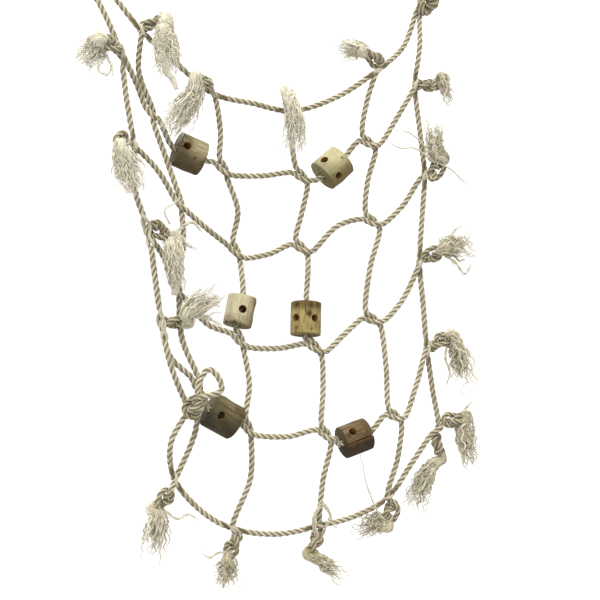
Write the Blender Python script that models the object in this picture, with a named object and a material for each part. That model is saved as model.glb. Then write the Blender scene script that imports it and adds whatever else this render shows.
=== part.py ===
"""Hanging rope net for climbing and play, with wooden blocks threaded on its ropes.

A border rope, four upright and four level ropes make a net of five by five open cells. The inner
ropes are tucked through each other where they cross, and each end is knotted outside the border
and frayed into a tassel. The net hangs by two loops tied in the border rope's upper corners.

Metres, +Z up. +X runs along the net's width and -Y is its front. The origin is the inside top of
the upper left hanging loop, where a hook bears. Places are lists in millimetres, times MM.
"""
import math

import bmesh
import bpy
from mathutils import Vector

MM = 0.001

# Driving dimensions
ROPE_DIAMETER = 6.0 * MM
ROPE_CENTRES = 6.5 * MM        # two ropes laid side by side, with air between them
GAP = 0.35 * MM                # between solids that meet
BORDER_PASS = 7.0 * MM         # from the border's middle to that of a rope tucked through it
ROPE_STEP = 18.0 * MM          # longest straight stretch of a rope's tube
TWIST_LENGTH = 16.0 * MM       # the tuck where two inner ropes cross
TASSEL_STEP = 13.0 * MM
TUBE_SIDES = 8
END_KNOT_RADIUS = 7.0 * MM
CORNER_KNOT_RADIUS = 9.0 * MM
BLOCK_BORE = 9.0 * MM
BLOCK_SIDE_HOLE = 8.0 * MM
BLOCK_EDGE = 0.8 * MM          # bevel on a block's sawn rims
BLOCK_SIDES = 24

# Where the ropes cross, row by row from the top, and from left to right in each row.
# The first and last rows and columns are the border rope.
CROSSINGS = (
    ((6, 0, -32), (67, 2, -99), (139, 7, -154), (220, 6, -167), (310, 0, -122), (367, 1, -48)),
    ((42, -13, -122), (77, 5, -176), (151, 13, -227), (233, 12, -232), (305, 8, -195), (356, 6, -134)),
    ((55, -17, -212), (104, 0, -264), (165, 15, -309), (235, 18, -304), (310, 10, -276), (365, 3, -227)),
    ((68, -21, -292), (99, -12, -348), (163, -6, -397), (242, -5, -405), (306, -1, -377), (360, 4, -318)),
    ((80, -26, -380), (116, -23, -440), (168, -16, -482), (249, -16, -491), (325, -13, -475), (367, 1, -409)),
    ((109, -36, -457), (96, -11, -529), (156, -3, -581), (245, -7, -583), (320, -6, -559), (378, -2, -490)),
)

# How far the middle of each stretch of rope bows away from a straight line between crossings
LEVEL_BOWS = (
    ((0, 0, 0), (0, 0, -2), (0, 0, -1), (3, 0, -6), (6, 9, -8)),
    ((0, 0, 0), (0, 0, 0), (0, 0, -3), (0, 0, 0), (6, 0, -2)),
    ((1, 0, 4), (0, 0, -2), (0, 0, -4), (0, 0, 9), (4, 0, -8)),
    ((2, 5, 3), (-2, 0, -8), (0, 0, -4), (0, 0, 0), (6, 0, -10)),
    ((-9, 5, 0), (0, 0, 0), (0, 0, -5), (0, 0, 0), (6, 0, -2)),
    ((-14, -4, 2), (-2, 0, -7), (0, 0, -7), (0, 0, -5), (0, 0, 0)),
)
UPRIGHT_BOWS = (
    ((0, 0, 0), (0, 0, 0), (-6, 0, 0), (0, 0, 0), (-7, -2, -2)),
    ((-8, 0, 0), (0, 0, 0), (4, 0, 0), (-6, 0, 0), (9, 3, 0)),
    ((2, 0, 0), (8, 0, 0), (0, 0, 0), (5, 0, 0), (10, 0, 0)),
    ((-5, 0, 0), (0, 0, 0), (0, 0, 0), (2, 0, 0), (0, 0, 0)),
    ((-8, 0, 0), (-4, 0, 0), (-4, 0, 0), (2, 0, 0), (7, 0, 0)),
    ((-3, -2, 0), (0, 0, 0), (0, 0, 0), (0, 0, 0), (0, 0, 0)),
)

# Knots outside the border: edge, number, centre, which side of the border rope the inner rope
# passes (-1 in front, 1 behind), and the tassel's middle, tip and thickest radius.
END_KNOTS = (
    ("top", 1, (76, 3, -91), 1, (86, -9, -104), (90, -14, -136), 8),
    ("top", 2, (127, -4, -145), -1, (115, -9, -158), (95, -9, -190), 8),
    ("top", 3, (218, 7, -155), 1, (217, -13, -172), (217, -12, -204), 8),
    ("top", 4, (305, -4, -111), -1, (292, -3, -102), (274, 2, -100), 7),
    ("left", 1, (33, -22, -119), -1, (21, -18, -120), (9, -13, -133), 8),
    ("left", 2, (42, -24, -208), -1, (43, -32, -229), (52, -34, -252), 7),
    ("left", 3, (80, -13, -291), 1, (88, -29, -305), (93, -33, -337), 6),
    ("left", 4, (91, -21, -378), 1, (103, -33, -369), (124, -42, -354), 7),
    ("right", 1, (369, 8, -132), 1, (385, 4, -121), (390, 1, -147), 5),
    ("right", 2, (376, -3, -222), -1, (375, -7, -205), (371, -8, -178), 6),
    ("right", 3, (369, -5, -310), -1, (384, -12, -302), (406, -18, -305), 8),
    ("right", 4, (379, -4, -400), -1, (394, -11, -400), (403, -15, -437), 8),
    ("bottom", 1, (85, -11, -547), -1, (79, -10, -562), (75, -9, -592), 7),
    ("bottom", 2, (156, -3, -598), 1, (152, -2, -614), (148, -1, -634), 8),
    ("bottom", 3, (241, -5, -599), 1, (242, -5, -615), (264, -12, -631), 6),
    ("bottom", 4, (324, -5, -575), 1, (312, -1, -584), (294, 4, -593), 7),
    ("corner", 1, (391, -10, -481), -1, (402, -13, -490), (409, -15, -525), 8),
    ("corner", 2, (378, -1, -507), 1, (373, 0, -529), (354, 5, -565), 8),
)

# Corner knots, and where the border rope's runs enter them
CORNER_KNOTS = {"top_left": (6, 0, -32), "top_right": (367, 1, -48), "bottom_left": (109, -36, -457)}
LEFT_RUN_TOP = (3, -4, -37)
TOP_RUN_ENDS = ((11, 3, -35), (363, 6, -51))
RIGHT_RUN_TOP = (369, -3, -51)
BOTTOM_RUN_END = ((370, -5, -496), (378, -10, -489))

# Way points of the loops, from their corner knot and back to it
LOOPS = {
    "top_left": ((-5, 0, -20), (-10, 0, -8), (-7, 0, 0), (0, 0, 3), (7, 0, 0), (10, 0, -8),
                 (11, 0, -19)),
    "top_right": ((363, 0, -34), (365, 0, -19), (368, 0, -11), (375, 0, -8), (382, 0, -11),
                  (385, 0, -19), (381, 0, -35)),
    "bottom_left": ((112, -43, -445), (112, -45, -432), (120, -47, -422), (129, -49, -430),
                    (131, -50, -442), (124, -48, -452)),
}

# Wooden blocks: rope, its number, the stretch it is on, centre, axis, length, diameter, and the
# side holes as (distance along the block from its middle, turn about the block's axis in degrees)
BLOCKS = (
    ("level", 1, 1, (115, 9, -214), (0.94, 0.05, -0.34), 28, 34, ((-8, 78),)),
    ("level", 1, 3, (265, 10, -222), (0.76, 0.0, 0.65), 28, 34, ((-5, 37), (-5, 119))),
    ("upright", 2, 2, (164, 1, -368), (-0.24, -0.15, -0.96), 30, 28, ((0, 126),)),
    ("upright", 3, 2, (234, 3, -376), (-0.09, -0.18, -0.98), 33, 30, ((1, 34), (1, 134))),
    ("level", 4, 1, (141, -19, -469), (0.87, 0.07, -0.48), 30, 34, ((-7, 95),)),
    ("level", 4, 3, (280, -14, -496), (0.95, 0.07, 0.29), 29, 32, ((-5, 49),)),
)


def point(place):
    return Vector(place) * MM


def crossing(row, column):
    return point(CROSSINGS[row][column])


def material(name, colour, roughness):
    made = bpy.data.materials.new(name)
    made.use_nodes = True
    shader = made.node_tree.nodes["Principled BSDF"]
    shader.inputs["Base Color"].default_value = (*colour, 1.0)
    shader.inputs["Roughness"].default_value = roughness
    shader.inputs["Metallic"].default_value = 0.0
    return made


def smooth_route(points, step):
    """A centripetal Catmull-Rom curve through the points, read at most a step apart."""
    ends = [2 * points[0] - points[1], *points, 2 * points[-1] - points[-2]]
    route = []
    for a, b, c, d in zip(ends, ends[1:], ends[2:], ends[3:]):
        ta = 0.0
        tb = ta + math.sqrt((b - a).length)
        tc = tb + math.sqrt((c - b).length)
        td = tc + math.sqrt((d - c).length)
        count = max(1, math.ceil((c - b).length / step))
        for index in range(count):
            t = tb + (tc - tb) * index / count
            ab = a.lerp(b, (t - ta) / (tb - ta))
            bc = b.lerp(c, (t - tb) / (tc - tb))
            cd = c.lerp(d, (t - tc) / (td - tc))
            abc = ab.lerp(bc, (t - ta) / (tc - ta))
            bcd = bc.lerp(cd, (t - tb) / (td - tb))
            route.append(abc.lerp(bcd, (t - tb) / (tc - tb)))
    route.append(points[-1].copy())
    return route


def start_outside(route, centre, ball_radius, tube_radius):
    """The route with its start cut off, so that a tube along it begins clear of a ball."""
    for index, (a, b) in enumerate(zip(route, route[1:])):
        direction = (b - a).normalized()
        steps = math.ceil((b - a).length / (0.5 * MM))
        for step in range(steps):
            place = a.lerp(b, step / steps)
            ahead = (place - centre).dot(direction)
            beside = (place - centre - ahead * direction).length
            reach = math.hypot(ahead, max(0.0, beside - tube_radius))
            if ahead > 0 and reach > ball_radius + GAP:
                rest = route[index + 1:]
                while len(rest) > 1 and (rest[0] - place).length < tube_radius:
                    rest = rest[1:]
                return [place, *rest]
    raise ValueError("a rope ends inside its knot")


def between_knots(route, start_knot, start_radius, end_knot, end_radius):
    radius = ROPE_DIAMETER / 2
    route = start_outside(route, start_knot, start_radius, radius)
    route = start_outside(route[::-1], end_knot, end_radius, radius)
    return route[::-1]


def tube(name, route, diameter, finish, thickness=None):
    """A round tube along the route; thickness gives a factor on its radius at each point."""
    curve = bpy.data.curves.new(name, "CURVE")
    curve.dimensions = "3D"
    curve.bevel_depth = diameter / 2
    curve.bevel_resolution = TUBE_SIDES // 2 - 2
    curve.use_fill_caps = True
    spline = curve.splines.new("POLY")
    spline.points.add(len(route) - 1)
    for index, place in enumerate(route):
        spline.points[index].co = (*place, 1.0)
        spline.points[index].radius = thickness[index] if thickness else 1.0
    curve.materials.append(finish)
    made = bpy.data.objects.new(name, curve)
    bpy.context.collection.objects.link(made)
    return made


def knot(name, centre, radius, finish):
    """A pulled-tight knot stands as a ball of its outer size."""
    mesh = bpy.data.meshes.new(name)
    shape = bmesh.new()
    bmesh.ops.create_icosphere(shape, subdivisions=2, radius=radius)
    shape.to_mesh(mesh)
    shape.free()
    mesh.shade_smooth()
    mesh.materials.append(finish)
    made = bpy.data.objects.new(name, mesh)
    made.location = centre
    bpy.context.collection.objects.link(made)
    return made


def end_knot_centre(edge, number):
    return next(point(centre) for where, n, centre, *_ in END_KNOTS if (where, n) == (edge, number))


def border_crossing(edge, number):
    """A border crossing: its place, the inner rope's next crossing, and the border's direction."""
    row, column, inner = {
        "top": (0, number, (1, number)),
        "bottom": (5, number, (4, number)),
        "left": (number, 0, (number, 1)),
        "right": (number, 5, (number, 4)),
    }[edge]
    if edge in ("top", "bottom"):
        direction = crossing(row, column + 1) - crossing(row, column - 1)
    else:
        direction = crossing(row + 1, column) - crossing(row - 1, column)
    return crossing(row, column), crossing(*inner), direction.normalized()


def rope_end(edge, number):
    """An inner rope's end: the knot outside the border, then where it is tucked past it."""
    side = next(side for where, n, _, side, *_ in END_KNOTS if (where, n) == (edge, number))
    place, inner, direction = border_crossing(edge, number)
    back = direction.cross(inner - place).normalized()
    if back.y < 0:
        back.negate()
    return [end_knot_centre(edge, number), place + side * BORDER_PASS * back]


def tuck(row, column, sign):
    """Way points of one rope through a crossing, where the two ropes make half a turn about
    each other. The upright rope has sign 1 and the level rope has sign -1."""
    centre = crossing(row, column)
    level = (crossing(row, column + 1) - crossing(row, column - 1)).normalized()
    upright = (crossing(row + 1, column) - crossing(row - 1, column)).normalized()
    along = (level + upright).normalized()
    across = (level - upright).normalized()
    front = along.cross(across)
    if (row + column) % 2:
        front.negate()
    route = []
    for step in range(5):
        turn = math.pi * step / 4
        offset = math.cos(turn) * across + math.sin(turn) * front
        place = centre + along * TWIST_LENGTH * (step / 4 - 0.5)
        route.append(place + sign * offset * ROPE_CENTRES / 2)
    return route


BLOCK_LEAD = 4                 # a rope's way points stand this far each side of a block's ends, in mm


def stretch(kind, number, link, start, end, bow):
    """Way points between two crossings: the middle of the bow, or a block's two ends."""
    for block_kind, block_number, block_link, centre, axis, length, *_ in BLOCKS:
        if (block_kind, block_number, block_link) == (kind, number, link):
            ends = [side * length / 2 + lead for side in (-1, 1) for lead in (-BLOCK_LEAD, BLOCK_LEAD)]
            return [point(centre) + Vector(axis).normalized() * end * MM for end in ends]
    return [(start + end) / 2 + point(bow)]


def inner_rope(kind, number, finish):
    """One inner rope, from its first border knot to its last, tucked through the four others."""
    upright = kind == "upright"
    bows = UPRIGHT_BOWS[number] if upright else LEVEL_BOWS[number]
    nodes = [crossing(i, number) if upright else crossing(number, i) for i in range(6)]
    start = rope_end("top" if upright else "left", number)
    end = rope_end("bottom" if upright else "right", number)
    route = start.copy()
    for link in range(5):
        route += stretch(kind, number, link, nodes[link], nodes[link + 1], bows[link])
        if link < 4:
            row, column = (link + 1, number) if upright else (number, link + 1)
            route += tuck(row, column, 1 if upright else -1)
    route += end[::-1]
    route = smooth_route(route, ROPE_STEP)
    route = between_knots(route, start[0], END_KNOT_RADIUS, end[0], END_KNOT_RADIUS)
    return tube(f"{kind}_rope_{number}", route, ROPE_DIAMETER, finish)


def border_run(name, places, bows, finish, knots):
    """One side of the border rope between the knots at its ends."""
    places = [point(p) for p in places]
    route = [places[0]]
    for start, end, bow in zip(places, places[1:], bows):
        route += [(start + end) / 2 + point(bow), end]
    route = smooth_route(route, ROPE_STEP)
    route = between_knots(route, *knots[0], *knots[1])
    return tube(name, route, ROPE_DIAMETER, finish)


def border(finish):
    columns = list(zip(*CROSSINGS))
    top_left, top_right, bottom_left = (
        (point(centre), CORNER_KNOT_RADIUS) for centre in CORNER_KNOTS.values())
    level_end, upright_end = ((end_knot_centre("corner", n), END_KNOT_RADIUS) for n in (1, 2))
    still = (0, 0, 0)
    border_run("border_left", (LEFT_RUN_TOP, *columns[0][1:]), UPRIGHT_BOWS[0], finish,
               (top_left, bottom_left))
    border_run("border_top", (TOP_RUN_ENDS[0], *CROSSINGS[0][1:5], TOP_RUN_ENDS[1]), LEVEL_BOWS[0],
               finish, (top_left, top_right))
    border_run("border_right", (RIGHT_RUN_TOP, *columns[5][1:], upright_end[0] / MM),
               (*UPRIGHT_BOWS[5], still), finish, (top_right, upright_end))
    border_run("border_bottom", (*CROSSINGS[5][:5], *BOTTOM_RUN_END, level_end[0] / MM),
               (*LEVEL_BOWS[5], still, still), finish, (bottom_left, level_end))


def loop(corner, way_points, finish):
    """A loop of the border rope standing out of its corner knot."""
    centre = point(CORNER_KNOTS[corner])
    route = smooth_route([centre, *(point(p) for p in way_points), centre], ROPE_STEP / 2)
    route = between_knots(route, centre, CORNER_KNOT_RADIUS, centre, CORNER_KNOT_RADIUS)
    return tube(f"loop_{corner}", route, ROPE_DIAMETER, finish)


def tassel(edge, number, knot_centre, middle, tip, radius, finish):
    """The frayed end of a rope: a soft tuft that swells from the knot and thins to its tip."""
    route = smooth_route([point(knot_centre), point(middle), point(tip)], TASSEL_STEP)
    route = start_outside(route, point(knot_centre), END_KNOT_RADIUS, 0.5 * radius * MM)
    last = len(route) - 1
    swell = [0.5 + 0.5 * math.sin(math.pi * 0.85 * i / last) for i in range(last + 1)]
    return tube(f"tassel_{edge}_{number}", route, 2 * radius * MM, finish, swell)


def drill(block, name, diameter, length, distance, turn):
    """Cut a round hole right through a block: along it, or across it at a distance and turn."""
    mesh = bpy.data.meshes.new(name)
    shape = bmesh.new()
    bmesh.ops.create_cone(shape, cap_ends=True, segments=16, radius1=diameter / 2,
                          radius2=diameter / 2, depth=length)
    shape.to_mesh(mesh)
    shape.free()
    cutter = bpy.data.objects.new(name, mesh)
    cutter.parent = block
    if turn is not None:
        cutter.location = (0, 0, distance)
        cutter.rotation_euler = (0, math.pi / 2, turn)
    cutter.hide_render = True
    cutter.display_type = "WIRE"
    bpy.context.collection.objects.link(cutter)
    cut = block.modifiers.new(name, "BOOLEAN")
    cut.operation = "DIFFERENCE"
    cut.solver = "EXACT"
    cut.object = cutter


def block(index, centre, axis, length, diameter, side_holes, finish):
    """A debarked length of branch, not quite round, bored along its pith and drilled across.
    Its own Z is the bore, on which it turns."""
    mesh = bpy.data.meshes.new(f"wood_block_{index}")
    shape = bmesh.new()
    bmesh.ops.create_cone(shape, cap_ends=True, segments=BLOCK_SIDES, radius1=diameter / 2,
                          radius2=diameter / 2, depth=length)
    for vertex in shape.verts:
        angle = math.atan2(vertex.co.y, vertex.co.x)
        out_of_round = 1 + 0.025 * math.cos(2 * angle + index)
        vertex.co.x *= out_of_round
        vertex.co.y *= out_of_round
    rims = [edge for edge in shape.edges if edge.calc_face_angle(0) > math.radians(60)]
    bmesh.ops.bevel(shape, geom=rims, offset=BLOCK_EDGE, segments=1, profile=0.5,
                    affect="EDGES", material=-1)
    shape.to_mesh(mesh)
    shape.free()
    mesh.materials.append(finish)
    made = bpy.data.objects.new(f"wood_block_{index}", mesh)
    made.location = centre
    made.rotation_mode = "QUATERNION"
    made.rotation_quaternion = Vector(axis).to_track_quat("Z", "X")
    bpy.context.collection.objects.link(made)
    drill(made, f"bore_{index}", BLOCK_BORE, 2 * length, 0, None)
    for number, (distance, turn) in enumerate(side_holes, 1):
        drill(made, f"side_hole_{index}_{number}", BLOCK_SIDE_HOLE, 2 * diameter,
              distance * MM, math.radians(turn))
    return made


def build():
    for old in list(bpy.data.objects):
        bpy.data.objects.remove(old)
    rope = material("twisted_rope", (0.72, 0.66, 0.50), 0.85)
    frayed = material("frayed_rope", (0.80, 0.76, 0.64), 0.9)
    wood = material("branch_wood", (0.66, 0.52, 0.35), 0.7)

    border(rope)
    for corner, way_points in LOOPS.items():
        loop(corner, way_points, rope)
        knot(f"corner_knot_{corner}", point(CORNER_KNOTS[corner]), CORNER_KNOT_RADIUS, rope)
    for number in range(1, 5):
        inner_rope("upright", number, rope)
        inner_rope("level", number, rope)
    for edge, number, centre, _, middle, tip, radius in END_KNOTS:
        knot(f"end_knot_{edge}_{number}", point(centre), END_KNOT_RADIUS, rope)
        tassel(edge, number, centre, middle, tip, radius, frayed)
    for index, (*_, centre, axis, length, diameter, holes) in enumerate(BLOCKS, 1):
        block(index, point(centre), axis, length * MM, diameter * MM, holes, wood)


build()
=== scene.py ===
"""The looks of a hanging rope net: laid rope, tight knots, frayed tassels and drilled wooden blocks.

The net's CAD frame is loaded at the top and stays as it is. Every piece here stands for one of its
nodes: the ropes are three strands laid up along the same routes, each end knot is a true overhand
knot pulled tight, each tassel is a tuft of loose yarns, and each block is a length of debarked
branch. Places are in millimetres, times MM, in the frame's own axes: +X along the net's width, +Z up,
-Y the front, and the origin at the inside top of the upper left hanging loop.
"""
import math
import random
from functools import lru_cache

import bmesh
import bpy
import numpy as np
from mathutils import Matrix, Vector


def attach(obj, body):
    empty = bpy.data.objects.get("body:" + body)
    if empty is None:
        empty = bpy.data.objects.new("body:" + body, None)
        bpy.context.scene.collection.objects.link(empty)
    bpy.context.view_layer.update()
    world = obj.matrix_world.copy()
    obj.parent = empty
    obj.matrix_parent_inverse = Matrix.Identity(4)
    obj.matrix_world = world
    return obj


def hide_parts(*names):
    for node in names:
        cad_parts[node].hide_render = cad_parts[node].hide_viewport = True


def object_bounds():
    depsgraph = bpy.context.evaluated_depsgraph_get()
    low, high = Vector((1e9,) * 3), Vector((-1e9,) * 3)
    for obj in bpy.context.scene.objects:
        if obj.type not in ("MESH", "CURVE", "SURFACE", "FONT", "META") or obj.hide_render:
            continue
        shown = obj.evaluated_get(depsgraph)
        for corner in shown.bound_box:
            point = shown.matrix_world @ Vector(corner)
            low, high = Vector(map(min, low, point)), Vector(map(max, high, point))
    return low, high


bl_info = {
    "name": "Rope Climbing Net",
    "version": (1, 0, 0),
    "blender": (4, 5, 0),
    "location": "3D View > Sidebar > Rope Net",
    "description": "Dresses a hanging rope net in laid rope, knots, tassels and wooden blocks",
    "category": "Add Mesh",
}

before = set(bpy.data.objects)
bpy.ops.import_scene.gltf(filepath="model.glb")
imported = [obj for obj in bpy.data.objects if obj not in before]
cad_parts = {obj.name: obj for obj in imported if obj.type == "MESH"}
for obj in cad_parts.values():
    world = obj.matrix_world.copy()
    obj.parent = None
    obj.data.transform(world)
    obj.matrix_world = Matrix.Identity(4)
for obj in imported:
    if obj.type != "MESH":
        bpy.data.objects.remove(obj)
CAD_BOX = [list(corner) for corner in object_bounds()]

MM = 0.001

# Where the ropes cross, row by row from the top, and from left to right in each row.
# The first and last rows and columns are the border rope.
CROSSINGS = (
    ((6, 0, -32), (67, 2, -99), (139, 7, -154), (220, 6, -167), (310, 0, -122), (367, 1, -48)),
    ((42, -13, -122), (77, 5, -176), (151, 13, -227), (233, 12, -232), (305, 8, -195), (356, 6, -134)),
    ((55, -17, -212), (104, 0, -264), (165, 15, -309), (235, 18, -304), (310, 10, -276), (365, 3, -227)),
    ((68, -21, -292), (99, -12, -348), (163, -6, -397), (242, -5, -405), (306, -1, -377), (360, 4, -318)),
    ((80, -26, -380), (116, -23, -440), (168, -16, -482), (249, -16, -491), (325, -13, -475), (367, 1, -409)),
    ((109, -36, -457), (96, -11, -529), (156, -3, -581), (245, -7, -583), (320, -6, -559), (378, -2, -490)),
)

# How far the middle of each stretch of rope bows away from a straight line between crossings
LEVEL_BOWS = (
    ((0, 0, 0), (0, 0, -2), (0, 0, -1), (3, 0, -6), (6, 9, -8)),
    ((0, 0, 0), (0, 0, 0), (0, 0, -3), (0, 0, 0), (6, 0, -2)),
    ((1, 0, 4), (0, 0, -2), (0, 0, -4), (0, 0, 9), (4, 0, -8)),
    ((2, 5, 3), (-2, 0, -8), (0, 0, -4), (0, 0, 0), (6, 0, -10)),
    ((-9, 5, 0), (0, 0, 0), (0, 0, -5), (0, 0, 0), (6, 0, -2)),
    ((-14, -4, 2), (-2, 0, -7), (0, 0, -7), (0, 0, -5), (0, 0, 0)),
)
UPRIGHT_BOWS = (
    ((0, 0, 0), (0, 0, 0), (-6, 0, 0), (0, 0, 0), (-7, -2, -2)),
    ((-8, 0, 0), (0, 0, 0), (4, 0, 0), (-6, 0, 0), (9, 3, 0)),
    ((2, 0, 0), (8, 0, 0), (0, 0, 0), (5, 0, 0), (10, 0, 0)),
    ((-5, 0, 0), (0, 0, 0), (0, 0, 0), (2, 0, 0), (0, 0, 0)),
    ((-8, 0, 0), (-4, 0, 0), (-4, 0, 0), (2, 0, 0), (7, 0, 0)),
    ((-3, -2, 0), (0, 0, 0), (0, 0, 0), (0, 0, 0), (0, 0, 0)),
)

# Knots outside the border: edge, number, centre, which side of the border rope the inner rope
# passes (-1 in front, 1 behind), the knot's roll in degrees, and its hand
END_KNOTS = (
    ("top", 1, (76, 3, -91), 1, 20, 1),
    ("top", 2, (127, -4, -145), -1, 140, -1),
    ("top", 3, (218, 7, -155), 1, 75, 1),
    ("top", 4, (305, -4, -111), -1, 200, 1),
    ("left", 1, (33, -22, -119), -1, 310, 1),
    ("left", 2, (42, -24, -208), -1, 95, -1),
    ("left", 3, (80, -13, -291), 1, 250, 1),
    ("left", 4, (91, -21, -378), 1, 170, 1),
    ("right", 1, (369, 8, -132), 1, 30, -1),
    ("right", 2, (376, -3, -222), -1, 290, 1),
    ("right", 3, (369, -5, -310), -1, 120, 1),
    ("right", 4, (379, -4, -400), -1, 215, -1),
    ("bottom", 1, (85, -11, -547), -1, 60, 1),
    ("bottom", 2, (156, -3, -598), 1, 330, 1),
    ("bottom", 3, (241, -5, -599), 1, 150, -1),
    ("bottom", 4, (324, -5, -575), 1, 260, 1),
    ("corner", 1, (391, -10, -481), -1, 45, 1),
    ("corner", 2, (378, -1, -507), 1, 185, 1),
)

# Tassels: edge, number, middle, tip, how wide the tip spreads, number of yarns, how far a yarn's
# curls swing, and number of fine fibres
TASSELS = (
    ("top", 1, (86, -9, -104), (90, -14, -136), 14, 34, 2.4, 330),
    ("top", 2, (115, -9, -158), (95, -9, -190), 13, 36, 1.6, 300),
    ("top", 3, (217, -13, -172), (217, -12, -204), 10, 32, 1.4, 300),
    ("top", 4, (292, -3, -102), (274, 2, -100), 10, 30, 1.2, 260),
    ("left", 1, (21, -18, -120), (9, -13, -133), 12, 30, 2.0, 330),
    ("left", 2, (43, -32, -229), (52, -34, -252), 12, 34, 1.6, 330),
    ("left", 3, (88, -29, -305), (93, -33, -337), 8, 30, 1.4, 220),
    ("left", 4, (103, -33, -369), (124, -42, -354), 10, 32, 1.2, 220),
    ("right", 1, (385, 4, -121), (390, 1, -147), 6, 20, 2.4, 120),
    ("right", 2, (375, -7, -205), (371, -8, -178), 11, 30, 2.2, 160),
    ("right", 3, (384, -12, -302), (406, -18, -305), 11, 34, 2.8, 140),
    ("right", 4, (394, -11, -400), (403, -15, -437), 11, 34, 2.6, 140),
    ("bottom", 1, (79, -10, -562), (75, -9, -592), 12, 26, 2.4, 200),
    ("bottom", 2, (152, -2, -614), (148, -1, -634), 10, 34, 2.6, 140),
    ("bottom", 3, (242, -5, -615), (264, -12, -631), 7, 26, 1.8, 100),
    ("bottom", 4, (312, -1, -584), (294, 4, -593), 9, 34, 2.2, 160),
    ("corner", 1, (402, -13, -490), (409, -15, -525), 11, 34, 2.8, 160),
    ("corner", 2, (373, 0, -529), (354, 5, -565), 10, 38, 2.4, 180),
)

# Yarns that hang or stand away from a tassel by themselves: whose they are, their thickness in
# millimetres, and their way points
LONE_YARNS = (
    ("top", 1, 6.8, ((82, -10, -109), (85, -16, -129), (86, -16, -140), (93, -16, -147), (96, -16, -156))),
    ("top", 3, 4.1, ((215, -14, -171), (211, -18, -164), (216, -16, -152))),
    ("left", 1, 2.7, ((30, -20, -129), (22, -24, -136), (21, -24, -145), (30, -22, -147), (34, -20, -135))),
    ("left", 1, 3.0, ((26, -22, -126), (33, -24, -141), (34, -24, -150))),
    ("left", 1, 6.8, ((34, -18, -120), (21, -20, -115), (11, -20, -113))),
    ("left", 2, 3.2, ((46, -24, -214), (59, -26, -226), (66, -26, -233))),
    ("left", 3, 8.8, ((93, -20, -292), (98, -22, -311), (96, -24, -333), (93, -24, -352))),
    ("left", 3, 3.5, ((95, -20, -292), (110, -24, -283), (119, -24, -292))),
    ("left", 3, 3.5, ((96, -20, -293), (108, -24, -306), (114, -24, -309))),
    ("left", 3, 2.2, ((89, -20, -285), (83, -24, -272), (90, -24, -267), (99, -24, -260))),
    ("left", 4, 4.1, ((98, -30, -368), (121, -34, -357), (132, -34, -353))),
    ("left", 4, 3.5, ((98, -30, -372), (121, -34, -374), (136, -34, -381))),
    ("right", 1, 2.2, ((384, -2, -124), (388, -4, -136), (384, -4, -147), (390, -5, -155))),
    ("right", 2, 2.0, ((372, -8, -215), (345, -16, -202), (328, -20, -203), (311, -20, -196))),
    ("right", 2, 2.0, ((374, -8, -212), (352, -12, -193), (340, -14, -186), (324, -14, -184))),
    ("right", 2, 1.8, ((376, -8, -215), (389, -12, -222), (401, -12, -232), (411, -10, -236))),
    ("right", 3, 3.0, ((376, -12, -306), (385, -18, -291), (392, -18, -283), (399, -18, -281))),
    ("right", 3, 3.0, ((376, -12, -308), (390, -18, -318), (401, -18, -330), (409, -18, -320))),
    ("right", 4, 2.7, ((386, -8, -402), (382, -12, -418), (386, -14, -432), (381, -14, -446))),
    ("bottom", 1, 2.7, ((84, -12, -556), (98, -16, -566), (108, -16, -562), (118, -16, -568))),
    ("bottom", 2, 2.7, ((156, -6, -606), (140, -10, -602), (130, -12, -606), (122, -12, -600))),
    ("bottom", 3, 4.3, ((243, -8, -597), (237, -12, -576), (246, -12, -561), (255, -12, -573),
                        (251, -10, -583))),
    ("bottom", 3, 3.5, ((245, -8, -597), (254, -12, -579), (261, -12, -585))),
    ("bottom", 4, 2.0, ((318, -8, -583), (308, -12, -575), (290, -20, -540), (286, -20, -522),
                        (282, -20, -507))),
    ("corner", 1, 3.0, ((394, -12, -482), (404, -14, -470), (413, -14, -462))),
    ("corner", 1, 3.0, ((396, -12, -484), (409, -14, -480), (414, -14, -494), (409, -16, -506))),
)

# Corner knots with the loops that stand out of them: centre, the way points of the loop, and the
# knot's roll in degrees
CORNERS = {
    "top_left": ((6, 0, -32), ((-5, 0, -20), (-10, 0, -8), (-7, 0, 0), (0, 0, 3), (7, 0, 0),
                               (10, 0, -8), (11, 0, -19)), 30),
    "top_right": ((367, 1, -48), ((363, 0, -34), (365, 0, -19), (368, 0, -11), (375, 0, -8),
                                  (382, 0, -11), (385, 0, -19), (381, 0, -35)), 110),
    "bottom_left": ((109, -36, -457), ((112, -43, -445), (112, -45, -432), (120, -47, -422),
                                       (129, -49, -430), (131, -50, -442), (124, -48, -452)), 70),
}

# Where each side of the border rope leaves or meets a corner knot, and where the bottom side runs
# past the lower right corner to its end knot
SIDE_LEADS = {
    "right": (359, 1, -91),
    "top": (344, 9, -93),
    "left": (87.5, -33, -420),
    "bottom": (88.5, -27.5, -491),
}
BOTTOM_RUN_END = ((370, -5, -496), (378, -10, -489))

# Wooden blocks: rope, its number, the stretch it is on, centre, axis, length, diameter, and the
# side holes as (distance along the block from its middle, turn about the block's axis in degrees)
BLOCKS = (
    ("level", 1, 1, (115, 9, -214), (0.94, 0.05, -0.34), 28, 34, ((-8, 78),)),
    ("level", 1, 3, (265, 10, -222), (0.76, 0.0, 0.65), 28, 34, ((-5, 37), (-5, 119))),
    ("upright", 2, 2, (164, 1, -368), (-0.24, -0.15, -0.96), 30, 28, ((0, 126),)),
    ("upright", 3, 2, (234, 3, -376), (-0.09, -0.18, -0.98), 33, 30, ((1, 34), (1, 134))),
    ("level", 4, 1, (141, -19, -469), (0.87, 0.07, -0.48), 30, 34, ((-7, 95),)),
    ("level", 4, 3, (280, -14, -496), (0.95, 0.07, 0.29), 29, 32, ((-5, 49),)),
)


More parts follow.
